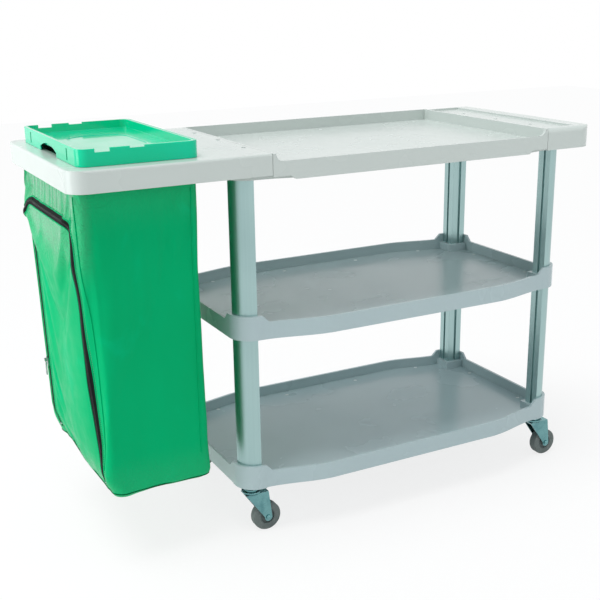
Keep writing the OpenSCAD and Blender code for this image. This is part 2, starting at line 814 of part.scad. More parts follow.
top_tray();
platform();
handle_end();
mid_shelf();
bottom_shelf();
post_low(-1, -1);  // post_fl_low
post_low(1, -1);  // post_fr_low
post_low(-1, 1);  // post_bl_low
post_low(1, 1);  // post_br_low
post_up(-1, -1);  // post_fl_up
post_up(1, -1);  // post_fr_up
post_up(-1, 1);  // post_bl_up
post_up(1, 1);  // post_br_up
lid();
lid_pins();
bag();
bag_hoop();
bag_piping();
zip_tape();
zip_teeth();
zip_stops();
zip_slider();
zip_pull();
zip_pin();
tray_plugs();
mid_plugs();
bottom_plugs();
tray_screws();
caster_stems();
fork(-1, -1);  // fork_fl
fork(1, -1);  // fork_fr
fork(-1, 1);  // fork_bl
fork(1, 1);  // fork_br
axle(-1, -1);  // axle_fl
axle(1, -1);  // axle_fr
axle(-1, 1);  // axle_bl
axle(1, 1);  // axle_br
hub(-1, -1);  // hub_fl
hub(1, -1);  // hub_fr
hub(-1, 1);  // hub_bl
hub(1, 1);  // hub_br
tyre(-1, -1);  // tyre_fl
tyre(1, -1);  // tyre_fr
tyre(-1, 1);  // tyre_bl
tyre(1, 1);  // tyre_br
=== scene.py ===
"""Looks of the housekeeping cart: finishes on the CAD nodes, and the hanging vinyl bag
with its zipper, seams and piping as modelled and simulated pieces. Metres, +Z up."""

import json
import math

import bmesh
import bpy
import numpy as np
from mathutils import Matrix, Vector, noise
from mathutils.bvhtree import BVHTree


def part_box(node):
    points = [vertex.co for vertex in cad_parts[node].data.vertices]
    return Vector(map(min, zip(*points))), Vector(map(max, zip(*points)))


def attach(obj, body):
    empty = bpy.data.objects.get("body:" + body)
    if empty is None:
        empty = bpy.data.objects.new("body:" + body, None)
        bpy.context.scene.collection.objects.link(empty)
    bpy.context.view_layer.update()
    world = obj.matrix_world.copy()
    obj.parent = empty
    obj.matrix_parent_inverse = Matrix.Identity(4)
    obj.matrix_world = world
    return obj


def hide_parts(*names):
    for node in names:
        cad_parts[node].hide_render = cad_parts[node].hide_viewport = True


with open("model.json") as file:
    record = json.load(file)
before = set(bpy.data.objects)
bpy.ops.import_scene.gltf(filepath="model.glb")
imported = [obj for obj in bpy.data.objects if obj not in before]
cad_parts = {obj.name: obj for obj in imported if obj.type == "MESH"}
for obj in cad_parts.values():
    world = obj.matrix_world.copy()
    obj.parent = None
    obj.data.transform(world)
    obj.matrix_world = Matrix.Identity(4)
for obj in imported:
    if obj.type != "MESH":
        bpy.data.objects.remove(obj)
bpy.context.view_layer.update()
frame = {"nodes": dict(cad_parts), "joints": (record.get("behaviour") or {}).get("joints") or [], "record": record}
nodes = frame["nodes"]
joints = {j["name"]: j for j in frame["joints"]}

# ---------------------------------------------------------------- places from the frame
BAG_LO, BAG_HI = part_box("bag")
BAG_TOP = BAG_HI.z
BAG_BOTTOM = BAG_LO.z
BAG_HALF = BAG_HI.y
BAG_X0 = BAG_LO.x
BAG_SWELL = 0.018
BAG_X1 = BAG_HI.x - BAG_SWELL
BAG_LEAN = 0.050
ZIP_STRAIGHT = 0.690
ZIP_BOTTOM = 0.742
KNEE_S = ZIP_STRAIGHT + 0.010
ZIP_TOP = 0.116
ZIP_CORNER_FRONT = 0.052
ZIP_CORNER_BACK = 0.066
ZIP_FRONT = -0.79 * BAG_HALF
ZIP_BACK = 0.80 * BAG_HALF
SLIDE_AXIS = Vector(joints["zip_slide"]["axis"]).normalized()
SLOPE = math.atan2(-SLIDE_AXIS.x, SLIDE_AXIS.z)
SLIDER_FROM = 0.205
VINYL = 0.0014


def smooth(t):
    """0 to 1 with level ends."""
    t = min(1.0, max(0.0, t))
    return t * t * (3 - 2 * t)


def linear(*rgb):
    """A colour given as 0-255 screen values, in linear light."""
    out = [(c / 255 / 12.92) if c < 10.3 else ((c / 255 + 0.055) / 1.055) ** 2.4 for c in rgb]
    return (*out, 1.0)


# ---------------------------------------------------------------- materials
class Finish:
    """A node material around one Principled shader."""

    def __init__(self, name, colour, roughness, metallic=0.0):
        self.material = bpy.data.materials.new(name)
        self.material.use_nodes = True
        self.tree = self.material.node_tree
        self.shader = self.tree.nodes["Principled BSDF"]
        self.colour = linear(*colour)
        self.set(Roughness=roughness, Metallic=metallic)
        self.material.diffuse_color = self.colour
        self.place = self.node("ShaderNodeTexCoord").outputs["Object"]
        self.bump_from = None
        self.last_colour = None

    def set(self, **sockets):
        for name, value in sockets.items():
            self.shader.inputs[name.replace("_", " ")].default_value = value

    def node(self, kind, **settings):
        made = self.tree.nodes.new(kind)
        for name, value in settings.items():
            setattr(made, name, value)
        return made

    def link(self, out, into):
        self.tree.links.new(out, into)

    def scaled(self, x, y, z):
        """Object coordinates stretched by a factor along each axis."""
        mapping = self.node("ShaderNodeMapping")
        mapping.inputs["Scale"].default_value = (x, y, z)
        self.link(self.place, mapping.inputs["Vector"])
        return mapping.outputs["Vector"]

    def noise(self, scale, detail=3.0, stretch=(1, 1, 1), distortion=0.0, rough=0.5):
        made = self.node("ShaderNodeTexNoise")
        made.inputs["Scale"].default_value = scale
        made.inputs["Detail"].default_value = detail
        made.inputs["Roughness"].default_value = rough
        made.inputs["Distortion"].default_value = distortion
        self.link(self.scaled(*stretch), made.inputs["Vector"])
        return made.outputs["Fac"]

    def ramp(self, out, low, high, to_low=0.0, to_high=1.0):
        made = self.node("ShaderNodeMapRange", interpolation_type="SMOOTHSTEP")
        for name, value in (("From Min", low), ("From Max", high),
                            ("To Min", to_low), ("To Max", to_high)):
            made.inputs[name].default_value = value
        self.link(out, made.inputs["Value"])
        return made.outputs["Result"]

    def math(self, operation, a, b):
        made = self.node("ShaderNodeMath", operation=operation)
        for socket, value in zip(made.inputs, (a, b)):
            if isinstance(value, (int, float)):
                socket.default_value = value
            else:
                self.link(value, socket)
        return made.outputs["Value"]

    def tint(self, amount, colour):
        """Mixes another colour over what is there, by a varying amount."""
        mix = self.node("ShaderNodeMix", data_type="RGBA")
        if self.last_colour is None:
            mix.inputs["A"].default_value = self.colour
        else:
            self.link(self.last_colour, mix.inputs["A"])
        mix.inputs["B"].default_value = linear(*colour)
        self.link(amount, mix.inputs["Factor"])
        self.last_colour = mix.outputs["Result"]
        self.link(self.last_colour, self.shader.inputs["Base Color"])

    def vary_roughness(self, out, low, high):
        made = self.ramp(out, 0.3, 0.7, low, high)
        self.link(made, self.shader.inputs["Roughness"])

    def bump(self, height, distance, strength=1.0):
        made = self.node("ShaderNodeBump")
        made.inputs["Distance"].default_value = distance
        made.inputs["Strength"].default_value = strength
        self.link(height, made.inputs["Height"])
        if self.bump_from is not None:
            self.link(self.bump_from, made.inputs["Normal"])
        self.bump_from = made.outputs["Normal"]
        self.link(self.bump_from, self.shader.inputs["Normal"])

    def soft_edges(self, radius, edge_wear_and_highlight=None, amount=0.5):
        """Rounds the look of sharp edges, and lightens them toward the colour given; on the glossy lid that
        lightening is a painted highlight.
        """
        bevel = self.node("ShaderNodeBevel", samples=6)
        bevel.inputs["Radius"].default_value = radius
        self.bump_from = bevel.outputs["Normal"]
        self.link(self.bump_from, self.shader.inputs["Normal"])
        if edge_wear_and_highlight:
            dot = self.node("ShaderNodeVectorMath", operation="DOT_PRODUCT")
            self.link(bevel.outputs["Normal"], dot.inputs[0])
            self.link(self.node("ShaderNodeNewGeometry").outputs["Normal"], dot.inputs[1])
            # Lightened edges; on the glossy lid this is a painted highlight.
            self.tint(self.ramp(dot.outputs["Value"], 0.99, 0.80, 0.0, amount), edge_wear_and_highlight)


def moulded(name, colour, roughness, shade, pale, grain=0.00006, edge=0.0012):
    """Injection-moulded plastic: fine spark grain, faint flow mottling and scuffs."""
    f = Finish(name, colour, roughness)
    f.set(IOR=1.46)
    f.soft_edges(edge, pale, 0.55)
    f.tint(f.ramp(f.noise(3.2, 2), 0.30, 0.75, 0.0, 0.32), shade)
    f.tint(f.ramp(f.noise(150, 4, (0.25, 3.0, 1.0), 0.3), 0.70, 0.78, 0.0, 0.10), pale)
    f.vary_roughness(f.noise(6, 3), roughness - 0.04, roughness + 0.05)
    f.bump(f.noise(1500, 2), grain)
    f.bump(f.noise(5, 1), 0.0006, 0.25)
    return f.material


def anodised(name, colour, shade):
    """Satin anodised aluminium extrusion with its drawing lines along Z."""
    f = Finish(name, colour, 0.36, 1.0)
    f.soft_edges(0.0008)
    f.tint(f.ramp(f.noise(300, 2, (1, 1, 0.004)), 0.35, 0.75, 0.0, 0.16), shade)
    f.tint(f.ramp(f.noise(5, 3), 0.4, 0.8, 0.0, 0.25), shade)
    f.vary_roughness(f.noise(380, 2, (1, 1, 0.01)), 0.33, 0.42)
    f.bump(f.noise(900, 2, (1, 1, 0.005)), 0.000012, 0.5)
    return f.material


def plated(name, colour, shade, bright, roughness=0.2):
    """Bright zinc plate: cloudy sheen, small pits and rubbed edges."""
    f = Finish(name, colour, roughness, 1.0)
    f.soft_edges(0.0006, bright, 0.5)
    f.tint(f.ramp(f.noise(34, 3, distortion=0.5), 0.4, 0.75, 0.0, 0.6), shade)
    f.vary_roughness(f.noise(120, 4), roughness - 0.06, roughness + 0.14)
    f.bump(f.noise(700, 3), 0.00004, 0.5)
    return f.material


def glossy_lid(name):
    """Glossy coloured plastic with a clear skin, faint swirls and hairline scratches."""
    f = Finish(name, (0, 208, 156), 0.20)
    f.set(IOR=1.22, Coat_Weight=0.7, Coat_Roughness=0.04, Coat_IOR=1.25)
    # Painted highlight: the lid's edges are lightened toward a pale green by soft_edges.
    f.soft_edges(0.0016, (60, 232, 196), 0.9)
    f.tint(f.ramp(f.noise(4, 3), 0.4, 0.75, 0.0, 0.5), (0, 222, 180))
    f.tint(f.ramp(f.noise(120, 5, (0.3, 2, 1), 0.6), 0.70, 0.80, 0.0, 0.18), (60, 220, 180))
    f.vary_roughness(f.noise(9, 2), 0.12, 0.22)
    f.bump(f.noise(4, 1), 0.0010, 0.3)
    f.bump(f.noise(900, 2), 0.00003, 0.5)
    return f.material


def vinyl(name, colour, deep, light):
    """Coated fabric: pebble of the coating over a fine weave, creases where a mesh asks."""
    f = Finish(name, colour, 0.42)
    f.set(IOR=1.10, Coat_Roughness=0.10)
    f.tint(f.ramp(f.noise(5, 3, (1, 1, 0.5)), 0.35, 0.75, 0.0, 0.6), deep)
    f.tint(f.ramp(f.noise(13, 4, (1, 1, 0.6), 0.6), 0.55, 0.8, 0.0, 0.4), light)
    f.vary_roughness(f.noise(30, 5), 0.34, 0.50)
    warp = f.node("ShaderNodeTexWave", bands_direction="Z")
    weft = f.node("ShaderNodeTexWave", bands_direction="DIAGONAL")
    for wave, scale in ((warp, 190), (weft, 150)):
        wave.inputs["Scale"].default_value = scale
        f.link(f.place, wave.inputs["Vector"])
    f.bump(f.math("ADD", warp.outputs["Fac"], weft.outputs["Fac"]), 0.00003, 0.6)
    f.bump(f.noise(420, 2), 0.00008, 0.5)
    f.bump(f.noise(14, 2, (1, 1, 0.5), 0.5), 0.0030, 0.30)
    crease = f.node("ShaderNodeAttribute", attribute_name="crinkle").outputs["Fac"]
    folds = f.noise(26, 3, distortion=1.2, rough=0.55)
    ridge = f.math("ABSOLUTE", f.math("SUBTRACT", folds, 0.5), 0.0)
    f.bump(f.math("MULTIPLY", ridge, crease), 0.016, 0.9)
    f.link(f.math("MULTIPLY", crease, 0.8), f.shader.inputs["Coat Weight"])
    return f.material


def woven_tape(name):
    """Herringbone zipper tape."""
    f = Finish(name, (8, 14, 14), 0.8)
    f.set(IOR=1.2, Sheen_Weight=0.04, Sheen_Roughness=0.5)
    warp = f.node("ShaderNodeTexWave", bands_direction="Y")
    weft = f.node("ShaderNodeTexWave", bands_direction="Z")
    for wave in (warp, weft):
        wave.inputs["Scale"].default_value = 420
        f.link(f.place, wave.inputs["Vector"])
    weave = f.math("MULTIPLY", warp.outputs["Fac"], weft.outputs["Fac"])
    f.tint(f.ramp(weave, 0.2, 0.9, 0.0, 0.5), (24, 34, 33))
    f.bump(weave, 0.00025, 0.9)
    return f.material


def hard_rubber(name):
    """Grey tread rubber, dusty where it rolls."""
    f = Finish(name, (104, 114, 112), 0.62)
    f.soft_edges(0.0008, (140, 148, 146), 0.4)
    f.tint(f.ramp(f.noise(60, 5), 0.42, 0.7, 0.0, 0.5), (84, 94, 93))
    f.tint(f.ramp(f.noise(210, 4), 0.60, 0.72, 0.0, 0.35), (150, 156, 152))
    f.vary_roughness(f.noise(90, 4), 0.52, 0.78)
    f.bump(f.noise(620, 4), 0.00015, 0.7)
    return f.material


MATERIALS = {
    "deck_plastic": moulded("deck_plastic", (204, 213, 209), 0.24, (196, 206, 202), (238, 243, 240)),
    "shelf_plastic": moulded("shelf_plastic", (178, 197, 200), 0.24, (166, 187, 191), (216, 228, 229)),
    "post_aluminium": anodised("post_aluminium", (166, 194, 193), (136, 168, 168)),
    "lid_plastic": glossy_lid("lid_plastic"),
    "bag_vinyl": vinyl("bag_vinyl", (0, 174, 110), (0, 160, 96), (0, 194, 138)),
    "zinc": plated("zinc", (112, 158, 160), (70, 118, 124), (216, 232, 232), 0.18),
    "zip_fabric": woven_tape("zip_fabric"),
    "zip_plastic": moulded("zip_plastic", (14, 20, 20), 0.42, (8, 12, 12), (46, 54, 54), 0.00002, 0.0003),
    "zip_metal": plated("zip_metal", (170, 178, 178), (110, 120, 122), (226, 230, 230), 0.16),
    "plug_plastic": moulded("plug_plastic", (222, 228, 226), 0.36, (204, 212, 210), (246, 248, 247)),
    "hub_plastic": moulded("hub_plastic", (92, 104, 103), 0.46, (70, 82, 82), (140, 150, 149)),
    "caster_tyre": hard_rubber("caster_tyre"),
}
SEAM = vinyl("bag_seam", (0, 92, 50), (0, 74, 40), (0, 120, 72))
# Thread for the seam stitches: the stitches are real, their pale colour is a painted highlight standing in for the
# bright flecks along the seam.
PAINTED_GLINT_THREAD = moulded("seam_thread_painted_glint", (120, 214, 170), 0.5, (84, 186, 140), (190, 240, 215), 0.00002, 0.0002)


def dress_cad_nodes():
    """Puts each CAD node in the finish of its record slot."""
    for part in frame["record"]["subparts"]:
        mesh = nodes[part["node"]].data
        mesh.materials.clear()
        mesh.materials.append(MATERIALS[part["material_slot"]])


# ---------------------------------------------------------------- mesh helpers
def make_object(name, points, faces, material, body="cart", smooth_faces=True):
    mesh = bpy.data.meshes.new(name)
    mesh.from_pydata([tuple(p) for p in points], [], faces)
    mesh.materials.append(material)
    if smooth_faces:
        mesh.shade_smooth()
    made = bpy.data.objects.new(name, mesh)
    bpy.context.scene.collection.objects.link(made)
    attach(made, body)
    return made


def strip_faces(rows, columns, first=0, closed=False):
    """Faces of a grid stored row by row; closed joins the last column to the first."""
    spans = columns if closed else columns - 1
    return [(first + r * columns + c, first + r * columns + (c + 1) % columns,
             first + (r + 1) * columns + (c + 1) % columns, first + (r + 1) * columns + c)
            for r in range(rows - 1) for c in range(spans)]


def tube(points, normals, radius, sides=8, closed=False):
    """A round tube along points; normals gives a direction across it at each point."""
    rings, count = [], len(points)
    for i, (p, n) in enumerate(zip(points, normals)):
        before = points[i - 1] if (closed or i) else p
        after = points[(i + 1) % count] if (closed or i < count - 1) else p
        along = (after - before).normalized()
        across = (n - along * n.dot(along)).normalized()
        side = along.cross(across)
        for k in range(sides):
            a = 2 * math.pi * k / sides
            rings.append(p + across * radius * math.cos(a) + side * radius * math.sin(a))
    faces = strip_faces(count, sides, closed=True)
    if closed:
        last = (count - 1) * sides
        faces += [(last + k, last + (k + 1) % sides, (k + 1) % sides, k) for k in range(sides)]
    else:
        faces += [tuple(range(sides))[::-1], tuple(range((count - 1) * sides, count * sides))]
    return rings, faces


# ---------------------------------------------------------------- the bag
RING_POINTS = 208
CORNER = 0.024  # radius of the upright corners
TURN = 0.022  # radius where the walls turn under
HELD_HEM = 0.045  # the hem is held this far down by the hoop
CLOTH_FRAMES = 24
CLOTH_REACH = 0.011  # a point moves no further than this
DROP_KEPT = 0.65  # share of the vinyl's downward stretch that is kept
BINDING_OFFSET = 0.0102  # from the middle of the zipper to its bound edge
STITCH_OFFSET = 0.0125
PIPING_RADIUS = 0.0013
WELT_RADIUS = 0.0014
SQUARENESS = 0.18  # power that squares the welt's oval, 1 leaves it round


def ring(x0, x1, half, radius, z):
    """Points round a rounded rectangle, evenly spaced, starting at the middle of the -X side."""
    straight_x, straight_y = x1 - x0 - 2 * radius, 2 * (half - radius)
    arc = math.pi / 2 * radius
    total = 2 * straight_x + 2 * straight_y + 4 * arc
    near_x, far_x = x0 + radius, x1 - radius
    side_y = half - radius
    # each side: its start, direction and length, then the centre and first angle of its arc
    sides = [
        ((x0, side_y), (0, -1), straight_y, (near_x, -side_y), math.pi),
        ((near_x, -half), (1, 0), straight_x, (far_x, -side_y), 1.5 * math.pi),
        ((x1, -side_y), (0, 1), straight_y, (far_x, side_y), 0.0),
        ((far_x, half), (-1, 0), straight_x, (near_x, side_y), 0.5 * math.pi),
    ]
    out = []
    for k in range(RING_POINTS):
        d = (k / RING_POINTS * total + straight_y / 2) % total
        for start, way, length, centre, angle in sides:
            if d <= length:
                p = Vector(start) + Vector(way) * d
                break
            d -= length
            if d <= arc:
                a = angle + d / radius
                p = Vector(centre) + Vector((math.cos(a), math.sin(a))) * radius
                break
            d -= arc
        out.append(Vector((p.x, p.y, z)))
    return out


def end_x(s):
    """Place of the end face at s below the top, before it bulges."""
    tuck = (BAG_LEAN - 0.016) * smooth((s - KNEE_S) / (BAG_TOP - BAG_BOTTOM - KNEE_S))
    return BAG_X0 + math.tan(SLOPE) * min(s, KNEE_S) + tuck


def bag_rings():
    """Rings from the inside of the hem, over it, down the walls and under the bottom."""
    height = BAG_TOP - BAG_BOTTOM
    step = 0.010
    rings = [ring(BAG_X0 + i, BAG_X1 - i, BAG_HALF - i, CORNER - i * 0.6, BAG_TOP - d)
             for i, d in ((0.0155, 0.013), (0.0155, 0.006), (0.0145, 0.0012), (0.009, 0.0006),
                          (0.003, 0.0010))]
    count = round((height - TURN) / step)
    for k in range(1, count + 1):
        s = (height - TURN) * k / count
        rings.append(ring(end_x(s), BAG_X1 + BAG_SWELL * s / height, BAG_HALF, CORNER, BAG_TOP - s))
    low = rings[-1][0].x
    turn = 4
    for k in range(1, turn + 1):
        a = math.pi / 2 * k / turn
        inset = (TURN - 0.002) * (1 - math.cos(a))
        z = BAG_BOTTOM + TURN - (TURN - 0.002) * math.sin(a)
        rings.append(ring(low + 1.3 * inset, BAG_HI.x - inset, BAG_HALF - inset, CORNER, z))
    edge = rings[-1]
    centre = sum(edge, Vector()) / RING_POINTS
    for k in range(1, 12):
        share = k / 12
        rings.append([p.lerp(centre, share) - Vector((0, 0, 0.004 * smooth(share * 3))) for p in edge])
    return rings


def slider_guard(p):
    """1 where the slider's runs needs the face flat, 0 well away from it."""
    s = BAG_TOP - p.z
    near = 1 - smooth((abs(p.y - ZIP_BACK) - 0.010) / 0.050)
    return near * smooth((s - SLIDER_FROM + 0.055) / 0.032) * (1 - smooth((s - ZIP_STRAIGHT + 0.02) / 0.04))


def on_end_face(p):
    """1 on the end face, falling to 0 round its corners."""
    return 1 - smooth((p.x - end_x(BAG_TOP - p.z) - 0.004) / 0.030)


def bulge(p):
    """How far the end face stands out, as the flap and the soft vinyl do."""
    s = BAG_TOP - p.z
    across = 1 - smooth((abs(p.y - 0.02) - 0.15) / 0.085)
    lip = 0.024 * smooth((s - 0.085) / 0.032) * (1 - smooth((s - 0.125) / 0.20)) * across
    belly = 0.006 * math.sin(math.pi * min(1, max(0, (s - 0.15) / 0.55))) * across
    front = 1 - smooth((p.y + 0.235) / 0.16)
    draw = -0.010 * front * smooth((s - 0.10) / 0.18) * (1 - smooth((s - 0.60) / 0.12))
    return (lip + belly) * (1 - slider_guard(p)) + draw


def folds(p):
    """Soft folds in the walls, deepest at mid height and none at the hem."""
    s = BAG_TOP - p.z
    depth = smooth((s - 0.03) / 0.10)
    slow = noise.noise(Vector((p.x * 9, p.y * 6, p.z * 2.6 + 4)))
    fine = noise.noise(Vector((p.x * 24 + 3, p.y * 17, p.z * 9)))
    skew = noise.noise(Vector(((p.x + p.z * 0.5) * 16, (p.y - p.z * 0.6) * 14, 7.3)))
    low = 1 + 0.9 * smooth((s - 0.60) / 0.15)
    return (0.0034 * slow + 0.0011 * fine + 0.0016 * skew) * depth * low


def shape_bag(rings):
    """Moves each ring point outward by the bulges and folds."""
    out = []
    for points in rings:
        count = len(points)
        for k, p in enumerate(points):
            along = points[(k + 1) % count] - points[k - 1]
            outward = Vector((along.y, -along.x, 0)).normalized() * -1
            if outward.dot(p - Vector(((BAG_X0 + BAG_X1) / 2, 0, p.z))) < 0:
                outward = -outward
            calm = 1 - slider_guard(p) * on_end_face(p)
            inner = 1.0 if BAG_TOP - p.z > 0.016 else 0.0
            q = p + outward * folds(p) * calm * inner
            q.x -= bulge(p) * on_end_face(p) * inner
            out.append(q)
    return out


def simulate_bag(obj):
    """Hangs the vinyl from its hem with a little air in it, then caps how far it moved."""
    start = np.array([v.co for v in obj.data.vertices])
    pin = obj.vertex_groups.new(name="pin")
    for i, p in enumerate(start):
        s = BAG_TOP - p[2]
        guard = slider_guard(Vector(p)) * on_end_face(Vector(p))
        weight = 1.0 if s < HELD_HEM else max(0.04, guard * 0.95)
        pin.add([i], weight, "REPLACE")
    cloth = obj.modifiers.new("cloth", "CLOTH")
    settings = cloth.settings
    settings.quality = 6
    settings.mass = 0.5
    settings.tension_stiffness = settings.compression_stiffness = 30
    settings.shear_stiffness = 12
    settings.bending_stiffness = 1.2
    settings.vertex_group_mass = "pin"
    settings.shrink_min = -0.012
    settings.use_pressure = True
    settings.uniform_pressure_force = 0.35
    cloth.collision_settings.use_self_collision = False
    cloth.collision_settings.use_collision = False
    cloth.point_cache.frame_start, cloth.point_cache.frame_end = 1, CLOTH_FRAMES
    scene = bpy.context.scene
    for step in range(1, CLOTH_FRAMES + 1):
        scene.frame_set(step)
    settled = obj.evaluated_get(bpy.context.evaluated_depsgraph_get()).to_mesh()
    moved = np.array([v.co for v in settled.vertices])
    obj.modifiers.remove(cloth)
    scene.frame_set(1)
    shift = moved - start
    shift -= np.array([0, 0, 1]) * shift[:, 2:3] * (1 - DROP_KEPT)
    reach = np.linalg.norm(shift, axis=1, keepdims=True)
    shift *= np.minimum(1, CLOTH_REACH / np.maximum(reach, 1e-9))
    calm = np.array([1 - slider_guard(Vector(p)) * on_end_face(Vector(p)) for p in start])
    final = start + shift * calm[:, None]
    obj.data.vertices.foreach_set("co", final.astype(np.float32).ravel())
    obj.data.update()


def crinkle(obj):
    """Marks where the vinyl is creased: at the top of the flap and round the bottom."""
    layer = obj.data.attributes.new("crinkle", "FLOAT", "POINT")
    values = []
    for v in obj.data.vertices:
        s = BAG_TOP - v.co.z
        face = on_end_face(v.co)
        top = (1 - smooth((s - 0.15) / 0.13)) * face * smooth((s - 0.02) / 0.05)
        bottom = 0.25 * smooth((s - 0.66) / 0.08)
        hem = 0.22 * (1 - smooth((s - 0.05) / 0.10))
        values.append(0.03 + 0.9 * top + bottom + hem)
    layer.data.foreach_set("value", values)


def make_bag():
    rings = bag_rings()
    points = shape_bag(rings)
    rows = len(rings)
    faces = strip_faces(rows, RING_POINTS, closed=True)
    last = (rows - 1) * RING_POINTS
    points.append(sum(points[last:], Vector()) / RING_POINTS)
    faces += [(last + k, last + (k + 1) % RING_POINTS, len(points) - 1) for k in range(RING_POINTS)]
    bag = make_object("laundry_bag", points, faces, MATERIALS["bag_vinyl"], "cart")
    fix_normals(bag)
    simulate_bag(bag)
    crinkle(bag)
    subdivide = bag.modifiers.new("smooth", "SUBSURF")
    subdivide.levels = subdivide.render_levels = 1
    wall = bag.modifiers.new("wall", "SOLIDIFY")
    wall.thickness = VINYL
    wall.offset = -1
    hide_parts("bag")
    return bag


def fix_normals(obj):
    """Turns every face outward and shades the mesh smooth."""
    bm = bmesh.new()
    bm.from_mesh(obj.data)
    bmesh.ops.recalc_face_normals(bm, faces=bm.faces)
    bm.to_mesh(obj.data)
    bm.free()
    obj.data.shade_smooth()


class Skin:
    """The bag's outer surface, to lay zipper, stitches and piping on."""

    def __init__(self, bag):
        bag.modifiers["wall"].show_viewport = False
        shown = bpy.context.evaluated_depsgraph_get()
        shown.update()
        self.tree = BVHTree.FromObject(bag, shown)
        bag.modifiers["wall"].show_viewport = True

    def at(self, origin, way):
        hit, normal, _, _ = self.tree.ray_cast(origin, way, 0.3)
        if hit is None:
            return None
        if normal.dot(way) > 0:
            normal = -normal
        return hit, normal

    def end(self, y, s):
        """The point of the end face at y across and s down along it."""
        return self.at(Vector((BAG_X0 - 0.15, y, BAG_TOP - s * math.cos(SLOPE))), Vector((1, 0, 0)))


def zip_line(step):
    """(y, s) points along the zipper: up the front leg, over the arch, down the back leg."""
    left, right, r, q = ZIP_FRONT, ZIP_BACK, ZIP_CORNER_FRONT, ZIP_CORNER_BACK
    leg = ZIP_BOTTOM - ZIP_TOP - r
    arc = math.pi / 2 * r
    top = right - left - r - q
    arc_back = math.pi / 2 * q
    total = leg + arc + top + arc_back + ZIP_BOTTOM - ZIP_TOP - q
    out = []
    for k in range(int(total / step) + 1):
        d = k * step
        if d <= leg:
            out.append((left, ZIP_BOTTOM - d))
            continue
        d -= leg
        if d <= arc:
            a = d / r
            out.append((left + r - r * math.cos(a), ZIP_TOP + r - r * math.sin(a)))
            continue
        d -= arc
        if d <= top:
            out.append((left + r + d, ZIP_TOP))
            continue
        d -= top
        if d <= arc_back:
            a = d / q
            out.append((right - q + q * math.sin(a), ZIP_TOP + q - q * math.cos(a)))
            continue
        out.append((right, ZIP_TOP + q + d - arc_back))
    return out


def beside(line, i, offset):
    """A point offset across the line at its place i, in the plane of the end face."""
    (y0, s0), (y1, s1) = line[max(0, i - 1)], line[min(len(line) - 1, i + 1)]
    length = math.hypot(y1 - y0, s1 - s0)
    y, s = line[i]
    return y + (s1 - s0) / length * offset, s - (y1 - y0) / length * offset


def make_zip_tape(skin):
    line = zip_line(0.004)
    across = (-0.0085, -0.0078, -0.0050, -0.0022, 0.0022, 0.0050, 0.0078, 0.0085)
    lift = (0.0004, 0.0011, 0.0011, 0.0016, 0.0016, 0.0011, 0.0011, 0.0004)
    points = []
    for i in range(len(line)):
        for offset, up in zip(across, lift):
            hit, normal = skin.end(*beside(line, i, offset))
            points.append(hit + normal * up)
    tape = make_object("zipper_tape", points, strip_faces(len(line), len(across)),
                       MATERIALS["zip_fabric"], "cart")
    fix_normals(tape)
    wall = tape.modifiers.new("wall", "SOLIDIFY")
    wall.thickness = 0.0006
    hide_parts("zip_tape")


def blocks(name, places, size, material):
    """Many small rounded blocks in one mesh; places gives (centre, along, normal)."""
    corners = [(a, b, c) for a in (-1, 1) for b in (-1, 1) for c in (0, 1)]
    points, faces = [], []
    for centre, along, normal in places:
        side = normal.cross(along).normalized()
        first = len(points)
        for a, b, c in corners:
            taper = 0.66 if c else 1.0
            points.append(centre + along * (a * size[0] / 2 * taper)
                          + side * (b * size[1] / 2 * taper) + normal * (c * size[2]))
        faces += [tuple(first + k for k in quad) for quad in
                  ((0, 1, 3, 2), (4, 6, 7, 5), (0, 4, 5, 1), (2, 3, 7, 6), (0, 2, 6, 4), (1, 5, 7, 3))]
    return make_object(name, points, faces, material, "cart", smooth_faces=False)


def along_zip(skin, step, offset, start=0):
    """Places every step along the zipper, offset across it."""
    line = zip_line(step)
    found = []
    for i in range(start, len(line) - 1):
        here, ahead = skin.end(*beside(line, i, offset)), skin.end(*beside(line, i + 1, offset))
        if here and ahead and (ahead[0] - here[0]).length > 1e-6:
            found.append((here[0], (ahead[0] - here[0]).normalized(), here[1]))
    return found


def make_zip_teeth(skin):
    """Coil of moulded teeth, two rows that mesh at the middle."""
    pitch = 0.0030
    places = []
    for side in (-1, 1):
        row = along_zip(skin, pitch, side * 0.0011)
        for centre, along, normal in row:
            shift = along * (pitch / 2 if side > 0 else 0)
            places.append((centre + normal * 0.0013 + shift, along, normal))
    teeth = blocks("zipper_teeth", places, (0.0021, 0.0032, 0.0018),
                   MATERIALS["zip_plastic"])
    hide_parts("zip_teeth")


def make_zip_stops(skin):
    """Crimped metal stops across the lower ends of both rows of teeth."""
    run = along_zip(skin, 0.004, 0.0)
    places = [(centre + normal * 0.0012, along, normal) for centre, along, normal in (run[1], run[-2])]
    stops = blocks("zipper_stops", places, (0.0052, 0.0080, 0.0030), MATERIALS["zip_metal"])
    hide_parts("zip_stops")


def make_stitches(skin):
    """Pale thread beside the zipper tape, two rows; the pale colour is a painted highlight for the flecks along
    the seam.
    """
    places = []
    for offset in (-STITCH_OFFSET, STITCH_OFFSET):
        for centre, along, normal in along_zip(skin, 0.0055, offset):
            places.append((centre + normal * 0.00005, along, normal))
    blocks("zipper_stitches", places, (0.0034, 0.0007, 0.0005), PAINTED_GLINT_THREAD)


def make_binding(skin):
    """Folded vinyl edges that the zipper tape is sewn under."""
    for name, offset in (("flap_binding", BINDING_OFFSET), ("frame_binding", -BINDING_OFFSET)):
        line = zip_line(0.005)
        points, normals = [], []
        for i in range(len(line)):
            hit, normal = skin.end(*beside(line, i, offset))
            points.append(hit + normal * 0.0004)
            normals.append(normal)
        verts, faces = tube(points, normals, 0.0016, 8)
        make_object(name, verts, faces, MATERIALS["bag_vinyl"], "cart")


